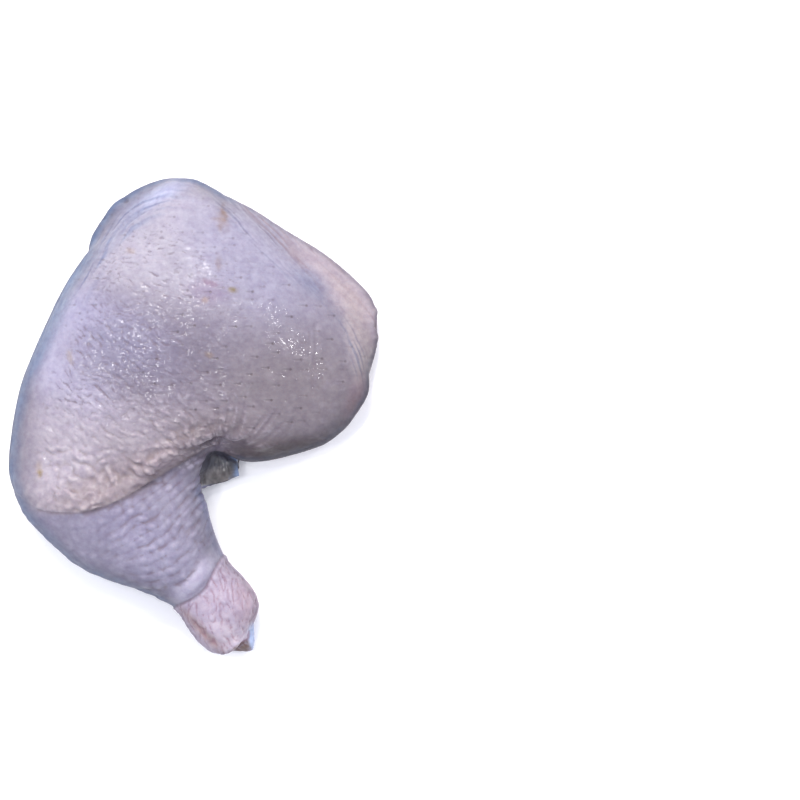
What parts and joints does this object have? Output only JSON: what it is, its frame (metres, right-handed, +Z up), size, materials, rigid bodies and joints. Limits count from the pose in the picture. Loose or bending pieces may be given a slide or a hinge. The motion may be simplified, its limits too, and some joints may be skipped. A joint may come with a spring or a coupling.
{
  "type": "raw chicken leg quarter",
  "caption": "Raw chicken leg quarter lying skin side up: domed thigh with its back portion, folded drumstick and cut hock, goose-bumped pale skin.",
  "frame": {"origin": "middle of the footprint, on the level it rests on", "axes": "+X from the knee side to the flank, +Y from the hock to the hip, +Z up, off the skin side"},
  "size_m": [0.1558, 0.2016, 0.0383],
  "materials": {
    "skin": "wet raw poultry skin, pale lavender pink, glossy"
  },
  "bodies": {
    "root": {"leg_quarter": "skin"}
  },
  "joints": []
}
